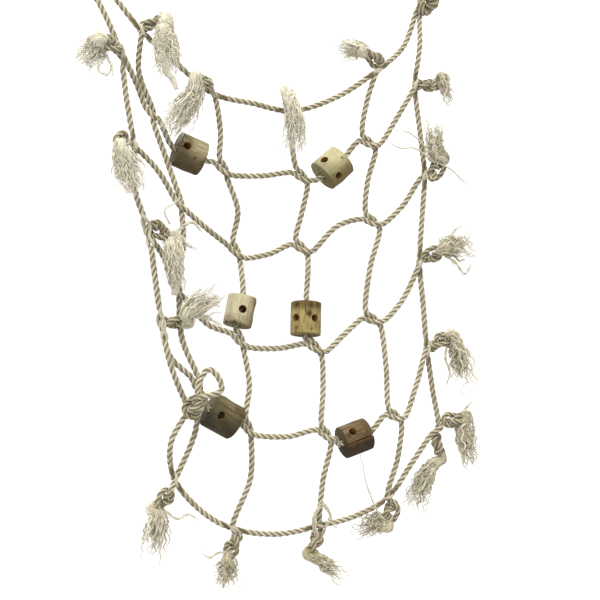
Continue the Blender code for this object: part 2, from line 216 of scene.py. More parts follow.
def linear(code):
    """A hex sRGB colour as linear red, green and blue."""
    parts = [int(code[i:i + 2], 16) / 255 for i in (1, 3, 5)]
    return tuple(c / 12.92 if c <= 0.04045 else ((c + 0.055) / 1.055) ** 2.4 for c in parts)


# ---------------------------------------------------------------- settings

class RopeSettings(bpy.types.PropertyGroup):
    diameter: bpy.props.FloatProperty(
        name="Diameter", description="Outside diameter of the laid rope",
        default=6.0 * MM, unit="LENGTH")
    lay: bpy.props.FloatProperty(
        name="Lay", description="Length in which a strand makes one turn",
        default=20.0 * MM, unit="LENGTH")
    tuck: bpy.props.FloatProperty(
        name="Tuck", description="Length over which two inner ropes lie together at a crossing",
        default=20.0 * MM, unit="LENGTH")
    crown: bpy.props.FloatVectorProperty(
        name="Crown colour", description="Colour of the strands' outer fibres",
        default=linear("#AEA791"), subtype="COLOR")
    # painted shade: the colour painted down in the grooves between the strands
    groove_shade: bpy.props.FloatVectorProperty(
        name="Groove colour", description="Colour down between the strands",
        default=linear("#544A33"), subtype="COLOR")


class TasselSettings(bpy.types.PropertyGroup):
    yarn: bpy.props.FloatProperty(
        name="Yarn", description="Diameter of a loose yarn", default=2.5 * MM, unit="LENGTH")
    fibre: bpy.props.FloatProperty(
        name="Fibre", description="Diameter of a combed out wisp of fibres",
        default=0.3 * MM, unit="LENGTH")
    pale: bpy.props.FloatVectorProperty(
        name="Pale colour", description="Colour of the combed out fibres",
        default=linear("#CFC9B6"), subtype="COLOR")
    tan: bpy.props.FloatVectorProperty(
        name="Tan colour", description="Colour of the yarns near the knot",
        default=linear("#817650"), subtype="COLOR")


class WoodSettings(bpy.types.PropertyGroup):
    bore: bpy.props.FloatProperty(
        name="Bore", description="Diameter of the hole that the rope runs through",
        default=9.0 * MM, unit="LENGTH")
    side_hole: bpy.props.FloatProperty(
        name="Side hole", description="Diameter of the holes drilled across a block",
        default=8.0 * MM, unit="LENGTH")
    rim: bpy.props.FloatProperty(
        name="Rim", description="Width of the worn edge round a block's ends",
        default=0.9 * MM, unit="LENGTH")


class StudioSettings(bpy.types.PropertyGroup):
    floor_drop: bpy.props.FloatProperty(
        name="Floor drop", description="Height of the floor below the net's lowest tassel",
        default=0.12, unit="LENGTH")
    key: bpy.props.FloatProperty(
        name="Key light", description="Power of the large soft light at the upper left, in watts",
        default=30.0)
    ceiling: bpy.props.FloatProperty(
        name="Ceiling", description="How much brighter the room is straight above than at its walls",
        default=2.6)


SETTINGS = {
    "rope_net_rope": RopeSettings,
    "rope_net_tassel": TasselSettings,
    "rope_net_wood": WoodSettings,
    "rope_net_studio": StudioSettings,
}


# ---------------------------------------------------------------- routes

def places(points):
    """Points given in millimetres, in metres."""
    return np.array(points, float) * MM


def unit(vector):
    """The vector at a length of one."""
    return vector / np.linalg.norm(vector)


def evenly(line, step):
    """The polyline read again at even distances of about a step."""
    along = np.concatenate(([0.0], np.cumsum(np.linalg.norm(np.diff(line, axis=0), axis=1))))
    at = np.linspace(0.0, along[-1], max(2, int(round(along[-1] / step)) + 1))
    return np.stack([np.interp(at, along, line[:, k]) for k in range(3)], axis=1)


def smooth_route(points, step):
    """A centripetal Catmull-Rom curve through the points, read evenly, and the index on it that is
    nearest to each of the points."""
    points = np.asarray(points)
    ends = np.vstack((2 * points[0] - points[1], points, 2 * points[-1] - points[-2]))
    line = []
    stops = [0]
    for a, b, c, d in zip(ends, ends[1:], ends[2:], ends[3:]):
        tb = math.sqrt(np.linalg.norm(b - a))
        tc = tb + math.sqrt(np.linalg.norm(c - b))
        td = tc + math.sqrt(np.linalg.norm(d - c))
        count = max(2, math.ceil(np.linalg.norm(c - b) / (0.5 * MM)))
        t = np.linspace(tb, tc, count, endpoint=False)[:, None]
        ab = a + (b - a) * t / tb
        bc = b + (c - b) * (t - tb) / (tc - tb)
        cd = c + (d - c) * (t - tc) / (td - tc)
        abc = ab + (bc - ab) * t / tc
        bcd = bc + (cd - bc) * (t - tb) / (td - tb)
        line.append(abc + (bcd - abc) * (t - tb) / (tc - tb))
        stops.append(stops[-1] + count)
    line = np.vstack((*line, points[-1:]))
    along = np.concatenate(([0.0], np.cumsum(np.linalg.norm(np.diff(line, axis=0), axis=1))))
    line = evenly(line, step)
    return line, np.round(along[stops] / along[-1] * (len(line) - 1)).astype(int)


def carried_frames(line):
    """Tangent, normal and binormal along the line, with the normal carried on without twisting."""
    tangents = np.gradient(line, axis=0)
    tangents /= np.linalg.norm(tangents, axis=1, keepdims=True)
    side = np.cross(tangents[0], (0.3, 0.9, 0.31))
    normals = [unit(side)]
    for tangent in tangents[1:]:
        normal = normals[-1] - tangent * normals[-1].dot(tangent)
        normals.append(unit(normal))
    normals = np.array(normals)
    return tangents, normals, np.cross(tangents, normals)


@lru_cache(maxsize=None)
def overhand(diameter, reach):
    """The centreline of an overhand knot pulled tight, from -X to +X, for a rope of the diameter.
    It starts as a loose long trefoil. The ends are drawn apart while the loops shorten, and turns
    that press into each other are pushed apart, until the rope lies against itself."""
    count = 64
    t = np.linspace(-2.15, 2.15, count)
    line = np.stack((t**3 - 3 * t, t**4 - 4 * t**2 + 2, (t**5 - 10 * t) / 4), axis=1)
    line = line * diameter * 1.1
    length = np.linalg.norm(np.diff(line, axis=0), axis=1).sum()
    line = evenly(line, length / (count - 1))
    count = len(line)
    loose = np.linalg.norm(line[1] - line[0])
    start, end = line[0].copy(), line[-1].copy()
    pulled = np.array((3.9 * diameter, 0, 0))
    apart = np.abs(np.subtract.outer(np.arange(count), np.arange(count)))
    steps = 1400
    for step in range(steps):
        drawn = min(1.0, 2 * step / steps)
        link = loose * (1 - 0.5 * min(1.0, step / (0.9 * steps)))
        line[1:-1] += 0.35 * ((line[:-2] + line[2:]) / 2 - line[1:-1])
        for _ in range(6):
            gap = np.diff(line, axis=0)
            size = np.linalg.norm(gap, axis=1, keepdims=True)
            move = gap * (0.5 - 0.5 * link / size)
            line[:-1] += move
            line[1:] -= move
            line[0] = start + (-pulled - start) * drawn
            line[-1] = end + (pulled - end) * drawn
        for _ in range(3):
            gap = line[:, None] - line[None]
            size = np.linalg.norm(gap, axis=2)
            pressed = (size < diameter) & (apart * link > 1.45 * diameter)
            push = np.where(pressed, (diameter - size) / np.maximum(size, 1e-9), 0.0)
            line += 0.25 * (gap * push[:, :, None]).sum(axis=1)
    core = line[np.abs(line[:, 0]) < 2.0 * diameter]
    middle = (core.min(axis=0) + core.max(axis=0)) / 2
    kept = np.abs(line[:, 0]) < reach * diameter
    return line[kept] - (0, middle[1], middle[2])


def placed_knot(centre, axis, roll, hand, diameter, reach):
    """The overhand knot's line about a centre, with its ends along the axis."""
    line = overhand(diameter, reach) * (1, 1, hand)
    turn = Vector(axis).to_track_quat("X", "Z") @ Matrix.Rotation(math.radians(roll), 3, "X").to_quaternion()
    return line @ np.array(turn.to_matrix()).T + centre


def crossing(row, column):
    return places(CROSSINGS[row][column])


def border_crossing(edge, number):
    """A border crossing: its place, the inner rope's next crossing, and the border's direction."""
    row, column, inner = {
        "top": (0, number, (1, number)),
        "bottom": (5, number, (4, number)),
        "left": (number, 0, (number, 1)),
        "right": (number, 5, (number, 4)),
    }[edge]
    if edge in ("top", "bottom"):
        direction = crossing(row, column + 1) - crossing(row, column - 1)
    else:
        direction = crossing(row + 1, column) - crossing(row - 1, column)
    return crossing(row, column), crossing(*inner), unit(direction)


def end_facts(edge, number):
    return next(facts for facts in END_KNOTS if facts[:2] == (edge, number))


def tassel_facts(edge, number):
    return next(facts for facts in TASSELS if facts[:2] == (edge, number))


KNOT_ROPE = 6.4 * MM           # between the middles of two turns that lie together in a knot
KNOT_TIGHT = 5.6 * MM          # a rope pulled tight in a knot is this thick
KNOT_REACH = 1.75              # how far a knot's line runs out from its centre, in rope diameters
TUCK_OFFSET = 0.6 * MM         # how far from the border rope's middle an inner rope goes through it
OUTERMOST = 4.2 * MM           # how far out of its own rope's middle a strand can be driven
PARTED = 3.7 * MM              # how far a parted strand stays from the middle of the rope inside it


def rope_end(edge, number):
    """An inner rope's end, from its tassel inwards: the knot's line, then the place where it is
    tucked through the border rope, with the direction in which it is tucked."""
    _, _, centre, side, roll, hand = end_facts(edge, number)
    place, inner, direction = border_crossing(edge, number)
    back = unit(np.cross(direction, inner - place))
    back = back if back[1] > 0 else -back
    passing = place + side * back * TUCK_OFFSET
    centre = places(centre)
    middle = places(tassel_facts(edge, number)[2])
    axis = unit(centre - passing) + 1.1 * unit(middle - centre)
    knot = placed_knot(centre, axis, roll, hand, KNOT_ROPE, KNOT_REACH)
    return knot[::-1], passing, unit(inner - centre)


# The upright rope's way points through an inner crossing: how far along the crossing, as a share of
# its length, and how far aside and behind, in millimetres
TUCK_SHAPE = ((-0.5, 2.9, -0.9), (-0.2, 2.9, 0.1), (0.1, 2.1, 1.7), (0.3, -0.2, 2.6), (0.5, -2.6, 1.6))


def tuck(row, column, sign):
    """Way points of one rope through an inner crossing, where the ropes lie together and then
    cross. The upright rope has sign 1 and the level rope has sign -1."""
    centre = crossing(row, column)
    level = unit(crossing(row, column + 1) - crossing(row, column - 1))
    upright = unit(crossing(row + 1, column) - crossing(row - 1, column))
    along = unit(level + upright)
    across = unit(level - upright)
    back = np.cross(along, across)
    back = back if back[1] > 0 else -back
    length = bpy.context.scene.rope_net_rope.tuck
    route = []
    for share, aside, behind in TUCK_SHAPE:
        offset = (aside * across + behind * back) * MM
        route.append(centre + along * length * share + sign * offset)
    return route


BLOCK_LEAD = 4                 # a rope's way points stand this far each side of a block's ends, in mm


def stretch(kind, number, link, start, end, bow):
    """Way points between two crossings: the middle of the bow, or a block's two ends."""
    for block_kind, block_number, block_link, centre, axis, length, *_ in BLOCKS:
        if (block_kind, block_number, block_link) == (kind, number, link):
            ends = [side * length / 2 + lead for side in (-1, 1) for lead in (-BLOCK_LEAD, BLOCK_LEAD)]
            return [places(centre) + unit(np.array(axis)) * end * MM for end in ends]
    return [(start + end) / 2 + places(bow)]


STEP = 1.25 * MM               # distance between the rings of a strand


def inner_route(kind, number):
    """An inner rope's whole line from tassel to tassel, and where its knots end on it."""
    upright = kind == "upright"
    bows = UPRIGHT_BOWS[number] if upright else LEVEL_BOWS[number]
    nodes = [crossing(i, number) if upright else crossing(number, i) for i in range(6)]
    start, start_pass, _ = rope_end("top" if upright else "left", number)
    end, end_pass, _ = rope_end("bottom" if upright else "right", number)
    route = [*start, start_pass]
    for link in range(5):
        route += stretch(kind, number, link, nodes[link], nodes[link + 1], bows[link])
        if link < 4:
            row, column = (link + 1, number) if upright else (number, link + 1)
            route += tuck(row, column, 1 if upright else -1)
    route += [end_pass, *end[::-1]]
    line, stops = smooth_route(route, STEP)
    return line, int(stops[len(start) - 1]), int(stops[-len(end)])


CORNER_ROPE = 7.4 * MM         # two ropes side by side, pulled tight in a corner knot
LANE = 2.1 * MM                # from a doubled knot's middle to each of its two ropes


def corner_lanes(corner):
    """The two ropes of a doubled overhand knot: the way up to the loop, and the way back."""
    centre, loop, roll = CORNERS[corner]
    centre = places(centre)
    loop = places(loop)
    axis = unit((loop[0] + loop[-1]) / 2 - centre)
    line = evenly(placed_knot(centre, axis, roll, 1, CORNER_ROPE, 1.6), 2.5 * MM)
    _, normals, _ = carried_frames(line)
    facing = loop[0] - loop[-1]
    turn = 1 if normals[-1].dot(facing) > 0 else -1
    return line + turn * LANE * normals, (line - turn * LANE * normals)[::-1]


def bowed(points, bows):
    """Way points with the middle of each stretch bowed as given."""
    route = [points[0]]
    for start, end, bow in zip(points, points[1:], bows):
        route += [(start + end) / 2 + places(bow), end]
    return route


def corner_end(number):
    """The border rope's end knot in the lower right corner, from the rope outwards."""
    _, _, centre, _, roll, hand = end_facts("corner", number)
    centre = places(centre)
    before = places(BOTTOM_RUN_END[1]) if number == 1 else crossing(5, 5)
    middle = places(tassel_facts("corner", number)[2])
    axis = unit(centre - before) + 1.1 * unit(middle - centre)
    return placed_knot(centre, axis, roll, hand, KNOT_ROPE, KNOT_REACH)


def border_route():
    """The border rope's whole line, and the node that each stretch of it belongs to: from the knot
    below the right side, up it, and round the net to the knot beside the lower right corner."""
    columns = np.array(CROSSINGS, float).transpose(1, 0, 2) * MM
    rows = np.array(CROSSINGS, float) * MM
    still = (0, 0, 0)
    right = bowed([*columns[5][:0:-1]], UPRIGHT_BOWS[5][:0:-1])
    right.append(places(SIDE_LEADS["right"]))
    top = [places(SIDE_LEADS["top"]), *bowed([*rows[0][4:0:-1]], LEVEL_BOWS[0][3:0:-1])]
    top.append((rows[0][0] + rows[0][1]) / 2)
    left = [(rows[0][0] + rows[1][0]) / 2, *bowed([*columns[0][1:5]], UPRIGHT_BOWS[0][1:4])]
    left.append(places(SIDE_LEADS["left"]))
    bottom = bowed([*rows[5][1:5], *places(BOTTOM_RUN_END)], (*LEVEL_BOWS[5][1:4], still, still))
    bottom.insert(0, places(SIDE_LEADS["bottom"]))
    parts = [("end_knot_corner_2", corner_end(2)[::-1]), ("border_right", right)]
    sides = {"top_right": ("border_top", top), "top_left": ("border_left", left),
             "bottom_left": ("border_bottom", bottom)}
    for corner, side in sides.items():
        there, back = corner_lanes(corner)
        loop = places(CORNERS[corner][1])
        if np.linalg.norm(loop[0] - there[-1]) > np.linalg.norm(loop[-1] - there[-1]):
            loop = loop[::-1]
        name = f"corner_knot_{corner}"
        parts += [(name, there), (f"loop_{corner}", loop[1:-1]), (name, back), side]
    parts.append(("end_knot_corner_1", corner_end(1)))
    line, stops = smooth_route(np.vstack([points for _, points in parts]), STEP)
    cuts = [0]
    passed = 0
    for name, points in parts[:-1]:
        passed += len(points)
        cuts.append(int(stops[passed - 1] if "knot" in name else stops[passed]))
    cuts.append(len(line) - 1)
    return line, [(name, *ends) for (name, _), ends in zip(parts, zip(cuts, cuts[1:]))]


# ---------------------------------------------------------------- materials

def add(tree, kind, links=(), **settings):
    """A new node with its settings. Links give a socket a value, another node's output, or another
    node, which stands for the first of its outputs that is in use."""
    made = tree.nodes.new(kind)
    for name, value in settings.items():
        setattr(made, name, value)
    for socket, value in links:
        if isinstance(value, bpy.types.Node):
            value = next(output for output in value.outputs if output.enabled)
        if isinstance(value, bpy.types.NodeSocket):
            tree.links.new(value, made.inputs[socket])
        else:
            made.inputs[socket].default_value = value
    return made


def new_material(name, roughness, sheen):
    """A material's node tree and its shader, with the settings that are the same all over."""
    made = bpy.data.materials.new(name)
    made.use_nodes = True
    tree = made.node_tree
    shader = tree.nodes["Principled BSDF"]
    shader.inputs["Roughness"].default_value = roughness
    shader.inputs["Sheen Weight"].default_value = sheen
    shader.inputs["Specular IOR Level"].default_value = 0.08
    return made, tree, shader


def laid_rope_material():
    """Laid natural fibre rope, undyed: the strands are pale on their crowns and darkened with painted
    shade down in the grooves between them. Each strand shows its yarns and their loose hairs."""
    rope = bpy.context.scene.rope_net_rope
    made, tree, shader = new_material("laid_natural_fibre_rope", 0.88, 0.25)
    lay = add(tree, "ShaderNodeAttribute", attribute_name="lay").outputs["Vector"]
    lay_parts = add(tree, "ShaderNodeSeparateXYZ", ((0, lay),)).outputs
    # yarns 0.9 mm wide lie in the strand, laid the other way from the strands themselves
    turns = add(tree, "ShaderNodeMath", ((0, lay_parts["X"]), (1, 0.11)), operation="MULTIPLY")
    phase = add(tree, "ShaderNodeMath", ((0, lay_parts["Y"]), (1, turns)))
    yarns = add(tree, "ShaderNodeMath", ((0, phase), (1, 7 * 2 * math.pi)), operation="MULTIPLY")
    ridge = add(tree, "ShaderNodeMath", ((0, yarns),), operation="SINE")
    # fibre hairs, 0.15 mm across and a few millimetres long
    hair_place = add(tree, "ShaderNodeVectorMath", ((0, lay), (1, (0.35, 22, 1))), operation="MULTIPLY")
    hairs = add(tree, "ShaderNodeTexNoise", ((0, hair_place), ("Scale", 1.0), ("Detail", 3.0)))
    # painted shade: dark in the groove between the strands, through the strand's body to its pale crown
    shade = add(tree, "ShaderNodeValToRGB", ((0, lay_parts["Z"]),))
    ramp = shade.color_ramp.elements
    ramp[0].position = 0.52
    ramp[0].color = (*rope.groove_shade, 1)
    ramp[1].position = 0.98
    ramp[1].color = (*rope.crown, 1)
    ramp.new(0.86).color = (*linear("#83795C"), 1)
    # weathered patches some 18 mm long, where the rope is browner
    place = add(tree, "ShaderNodeTexCoord").outputs["Object"]
    patches = add(tree, "ShaderNodeTexNoise", ((0, place), ("Scale", 55.0), ("Detail", 2.0)))
    worn = add(tree, "ShaderNodeMapRange", ((0, patches), (1, 0.42), (2, 0.72), (3, 0.0), (4, 0.55)))
    colour = add(tree, "ShaderNodeMix", ((0, worn), (6, shade), (7, (*linear("#70654A"), 1))),
                 data_type="RGBA")
    streak = add(tree, "ShaderNodeMapRange", ((0, hairs), (1, 0.35), (2, 0.7), (3, 0.72), (4, 1.12)))
    grey = add(tree, "ShaderNodeCombineColor", ((0, streak), (1, streak), (2, streak)))
    colour = add(tree, "ShaderNodeMix", ((0, 1.0), (6, colour), (7, grey)),
                 data_type="RGBA", blend_type="MULTIPLY")
    height = add(tree, "ShaderNodeMath", ((0, ridge), (1, 0.35), (2, hairs)), operation="MULTIPLY_ADD")
    bump = add(tree, "ShaderNodeBump", (("Strength", 0.8), ("Distance", 0.25 * MM), ("Height", height)))
    tree.links.new(colour.outputs[2], shader.inputs["Base Color"])
    tree.links.new(bump.outputs["Normal"], shader.inputs["Normal"])
    return made


def loose_yarn_material():
    """Rope that has been unlaid and combed: tan near the knot, where yarns keep their dressing,
    and bleached and dry towards the tips, with a soft sheen from the standing fibres."""
    tassel_look = bpy.context.scene.rope_net_tassel
    made, tree, shader = new_material("combed_rope_fibre", 0.92, 0.4)
    lay = add(tree, "ShaderNodeAttribute", attribute_name="lay").outputs["Vector"]
    tone = add(tree, "ShaderNodeSeparateXYZ", ((0, lay),)).outputs["Z"]
    colour = add(tree, "ShaderNodeMix", ((0, tone), (6, (*tassel_look.tan, 1)), (7, (*tassel_look.pale, 1))),
                 data_type="RGBA")
    # hairs about 2 mm long, drawn several times as thick as a real fibre so that they show
    hair_place = add(tree, "ShaderNodeVectorMath", ((0, lay), (1, (0.6, 9, 3))), operation="MULTIPLY")
    hairs = add(tree, "ShaderNodeTexNoise", ((0, hair_place), ("Scale", 1.0), ("Detail", 2.0)))
    streak = add(tree, "ShaderNodeMapRange", ((0, hairs), (1, 0.35), (2, 0.7), (3, 0.75), (4, 1.1)))
    grey = add(tree, "ShaderNodeCombineColor", ((0, streak), (1, streak), (2, streak)))
    colour = add(tree, "ShaderNodeMix", ((0, 1.0), (6, colour), (7, grey)),
                 data_type="RGBA", blend_type="MULTIPLY")
    bump = add(tree, "ShaderNodeBump", (("Strength", 0.6), ("Distance", 0.15 * MM), ("Height", hairs)))
    tree.links.new(colour.outputs[2], shader.inputs["Base Color"])
    tree.links.new(bump.outputs["Normal"], shader.inputs["Normal"])
    return made


# Each block's own look: its light and dark wood (the dark also painted as shade on the side away
# from the light), how far it has greyed, how strong its flecks are, and at which end (1 the far end
# of its axis, -1 the near end) and how strongly dirt has soaked in
WOOD_LOOKS = (
    ("#8C8464", "#3A2E18", 0.15, 0.60, -1, 0.80),
    ("#A09A78", "#5A5030", 0.05, 0.35, -1, 0.40),
    ("#A29B7F", "#5A4A28", 0.05, 0.35, 1, 0.50),
    ("#8C7D50", "#3B2C13", 0.03, 0.85, -1, 0.70),
    ("#5C5339", "#241C0E", 0.15, 0.85, 1, 0.85),
    ("#5F4D33", "#21170B", 0.10, 0.90, 1, 0.70),
)


# Dark knots and bruises on each block's side: turn in degrees, distance along and radius in
# millimetres
BRUISES = {
    1: ((135, 2, 3.0), (160, 9, 3.0), (152, -9, 3.4), (108, 3, 1.4)),
    2: ((80, 9, 1.6),),
    3: ((-33, 15, 3.8), (-12, 16, 3.4), (12, 15, 3.4), (-60, 16, 2.6)),
    4: ((-20, -3, 3.6), (30, -12, 3.6), (-26, -12, 3.2), (-58, -13, 3.0), (28, 11, 1.8), (-30, 12, 1.6)),
    5: ((50, 6, 3.0), (62, 11, 2.6), (150, -4, 3.4), (125, 8, 2.0)),
    6: ((128, 1, 4.0), (60, -11, 2.6), (70, 9, 2.0), (150, 8, 2.6)),
}


GRAIN_STEP = 40.0              # from one block's grain to the next one's, along Z, in millimetres


def branch_material(index):
    """Debarked branch wood, left rough from the saw: long grain streaks, bud flecks and bruises on
    its side, rings round the pith on its ends, holes browned by the drill, and painted shade on the
    side away from the light."""
    light, dark_wood_and_shade, grey, flecked, dirt_side, dirt_share = WOOD_LOOKS[index - 1]
    *_, diameter, _ = BLOCKS[index - 1]
    made, tree, shader = new_material(f"debarked_branch_{index}", 0.78, 0.0)
    # the block's own millimetres, with its axis along Z
    grain = add(tree, "ShaderNodeAttribute", attribute_name="grain").outputs["Vector"]
    place = add(tree, "ShaderNodeSeparateXYZ", ((0, grain),)).outputs
    cut = add(tree, "ShaderNodeAttribute", attribute_name="cut").outputs["Vector"]
    kind = add(tree, "ShaderNodeSeparateXYZ", ((0, cut),)).outputs
    # grain streaks about 1 mm wide and 12 mm long
    stretched = add(tree, "ShaderNodeVectorMath", ((0, grain), (1, (0.9, 0.9, 0.08))), operation="MULTIPLY")
    streaks = add(tree, "ShaderNodeTexNoise",
                  ((0, stretched), ("Scale", 0.75), ("Detail", 5.0), ("Roughness", 0.62)))
    blotches = add(tree, "ShaderNodeTexNoise", ((0, grain), ("Scale", 0.11), ("Detail", 3.0)))
    spots = add(tree, "ShaderNodeTexVoronoi", ((0, stretched), ("Scale", 0.30)))
    side_shade = add(tree, "ShaderNodeMapRange",
                     ((0, streaks), (1, 0.40), (2, 0.68), (3, 0.0), (4, 0.9 * flecked + 0.1)))
    # growth rings 1.4 mm apart, wavering round the pith
    flat = add(tree, "ShaderNodeVectorMath", ((0, grain), (1, (1, 1, 0))), operation="MULTIPLY")
    radius = add(tree, "ShaderNodeVectorMath", ((0, flat),), operation="LENGTH")
    waver = add(tree, "ShaderNodeTexNoise", ((0, flat), ("Scale", 0.12)))
    ring_place = add(tree, "ShaderNodeMath", ((0, waver), (1, 5.0), (2, radius)), operation="MULTIPLY_ADD")
    ring_turn = add(tree, "ShaderNodeMath", ((0, ring_place), (1, 2 * math.pi / 1.4)), operation="MULTIPLY")
    rings = add(tree, "ShaderNodeMath", ((0, ring_turn),), operation="SINE")
    ring_shade = add(tree, "ShaderNodeMapRange", ((0, rings), (1, -1.0), (2, 1.0), (3, 0.25), (4, 0.7)))
    share = add(tree, "ShaderNodeMix", ((0, kind["X"]), (2, side_shade), (3, ring_shade)))
    fleck = add(tree, "ShaderNodeMapRange", ((0, spots), (1, 0.10), (2, 0.26), (3, flecked), (4, 0.0)))
    layers = [(share, dark_wood_and_shade), (fleck, "#35260F")]
    for turn, distance, size in BRUISES[index]:
        turn = math.radians(turn)
        spot = (diameter / 2 * math.cos(turn), diameter / 2 * math.sin(turn), distance + GRAIN_STEP * index)
        gap = add(tree, "ShaderNodeVectorMath", ((0, grain), (1, spot)), operation="DISTANCE")
        edge = add(tree, "ShaderNodeMath", ((0, streaks), (1, 9.0), (2, gap)), operation="MULTIPLY_ADD")
        bruise = add(tree, "ShaderNodeMapRange",
                     ((0, edge), (1, 0.4 * size + 4.2), (2, size + 5.2), (3, 0.95), (4, 0.0)))
        layers.append((bruise, "#241809"))
    # dirt that has soaked into one end, in patches
    end_side = add(tree, "ShaderNodeMath",
                   ((0, place["Z"]), (1, dirt_side), (2, -GRAIN_STEP * index * dirt_side)),
                   operation="MULTIPLY_ADD")
    patchy = add(tree, "ShaderNodeMath", ((0, blotches), (1, 30.0), (2, end_side)), operation="MULTIPLY_ADD")
    dirt = add(tree, "ShaderNodeMapRange", ((0, patchy), (1, 16.0), (2, 27.0), (3, 0.0), (4, dirt_share)))
    # painted shade: the side of the block away from the light is darkened towards its dark wood, in blotches
    away_from_light = add(tree, "ShaderNodeMath", ((0, blotches), (1, 14.0), (2, place["X"])), operation="MULTIPLY_ADD")
    painted_side_shade = add(tree, "ShaderNodeMapRange", ((0, away_from_light), (1, 13.0), (2, 1.0), (3, 0.0), (4, 0.92)))
    greyed = add(tree, "ShaderNodeMapRange",
                 ((0, blotches), (1, 0.35), (2, 0.65), (3, 0.3 * grey), (4, grey)))
    layers += [(dirt, "#3B2C14"), (painted_side_shade, dark_wood_and_shade), (greyed, "#79745F"), (kind["Y"], "#77572F")]
    colour = (*linear(light), 1)
    for cover, code in layers:
        colour = add(tree, "ShaderNodeMix", ((0, cover), (6, colour), (7, (*linear(code), 1))),
                     data_type="RGBA")
    height = add(tree, "ShaderNodeMath", ((0, spots), (1, 0.5), (2, streaks)), operation="MULTIPLY_ADD")
    bump = add(tree, "ShaderNodeBump", (("Strength", 0.7), ("Distance", 0.5 * MM), ("Height", height)))
    tree.links.new(colour.outputs[2], shader.inputs["Base Color"])
    tree.links.new(bump.outputs["Normal"], shader.inputs["Normal"])
    return made


# ---------------------------------------------------------------- ropes and tassels

def tubes(name, lines, radii, sides, facts):
    """One mesh of round tubes along the lines. radii gives a tube's radius at each of its rings,
    and facts two numbers a ring for the material: how far along it is, in millimetres, and its
    tone. The tube's turn, from 0 to 1, stands between them in the "lay" attribute."""
    curve = bpy.data.curves.new(name, "CURVE")
    curve.dimensions = "3D"
    curve.bevel_depth = 1.0
    curve.bevel_resolution = sides // 2 - 2
    for line, thickness in zip(lines, radii):
        spline = curve.splines.new("POLY")
        spline.points.add(len(line) - 1)
        spline.points.foreach_set("co", np.hstack((line, np.ones((len(line), 1)))).ravel())
        spline.points.foreach_set("radius", np.asarray(thickness, float).ravel())
    holder = bpy.data.objects.new(name, curve)
    mesh = bpy.data.meshes.new_from_object(holder)
    bpy.data.objects.remove(holder)
    bpy.data.curves.remove(curve)
    rings = np.vstack(facts)
    if len(mesh.vertices) != len(rings) * sides:
        raise ValueError(f"{name}: a tube has lost some of its rings")
    turn = np.tile(np.arange(sides) / sides, len(rings))
    lay = mesh.attributes.new("lay", "FLOAT_VECTOR", "POINT")
    each = np.repeat(rings, sides, axis=0)
    lay.data.foreach_set("vector", np.stack((each[:, 0], turn, each[:, 1]), axis=1).ravel())
    shape = bmesh.new()
    shape.from_mesh(mesh)
    bmesh.ops.holes_fill(shape, edges=shape.edges, sides=sides)
    bmesh.ops.recalc_face_normals(shape, faces=shape.faces)
    shape.to_mesh(mesh)
    shape.free()
    mesh.shade_smooth()
    made = bpy.data.objects.new(name, mesh)
    bpy.context.collection.objects.link(made)
    return made


def part_strands(strands, own, through, place, clear, height):
    """Press the strands of a rope apart where another rope is tucked through it. own and through
    are the two ropes' directions there, clear is how far a strand's middle has to stay from the
    middle of the rope that comes through, and height is how far that lies from this rope's own."""
    side = unit(np.cross(own, through))
    for strand in strands:
        away = strand - place
        away = away - np.outer(away @ through, through)
        up = away @ side
        aside = away @ unit(own - own.dot(through) * through)
        reach = np.abs(aside) < clear
        if not reach.any():
            continue
        middle = np.argmin(np.where(reach, np.abs(aside) + 3 * np.linalg.norm(strand - place, axis=1), 1e9))
        over = 1.0 if up[middle] > height else -1.0
        near = np.linalg.norm(strand - place, axis=1) < 4 * clear
        arc = over * np.sqrt(np.maximum(clear**2 - aside**2, 0))
        wanted = arc - up
        push = np.where(near & (over * wanted > 0), wanted, 0)
        push = np.convolve(push, np.ones(3) / 3, mode="same")
        strand += np.outer(push, side)


STRAND_OUT = 0.26              # from a rope's middle to a strand's middle, in rope diameters
STRAND_RADIUS = 0.255          # and a strand's radius
STRAND_SIDES = 8


def laid_up(line, tight, tucked=()):
    """The three strands of a rope along its line. tight is the rope's diameter at each ring."""
    rope = bpy.context.scene.rope_net_rope
    _, normals, binormals = carried_frames(line)
    turn = 2 * math.pi * np.arange(len(line)) * STEP / rope.lay
    strands = []
    for third in range(3):
        angle = turn + third * 2 * math.pi / 3
        out = np.cos(angle)[:, None] * normals + np.sin(angle)[:, None] * binormals
        strands.append(line + STRAND_OUT * tight[:, None] * out)
    for own, through, place, height in tucked:
        part_strands(strands, own, through, place, PARTED, height)
    held = []
    for strand in strands:
        out = strand - line
        away = np.linalg.norm(out, axis=1, keepdims=True)
        held.append(line + out * np.minimum(1, OUTERMOST / away))
    return held


def drawn_tight(count, knots):
    """A rope's diameter at each of its rings: it is pulled thinner where it is knotted."""
    loose = np.ones(count)
    for first, last in knots:
        loose[first:last + 1] = 0.0
    loose = np.convolve(np.pad(loose, 4, mode="edge"), np.ones(9) / 9, mode="valid")
    return KNOT_TIGHT + (bpy.context.scene.rope_net_rope.diameter - KNOT_TIGHT) * loose


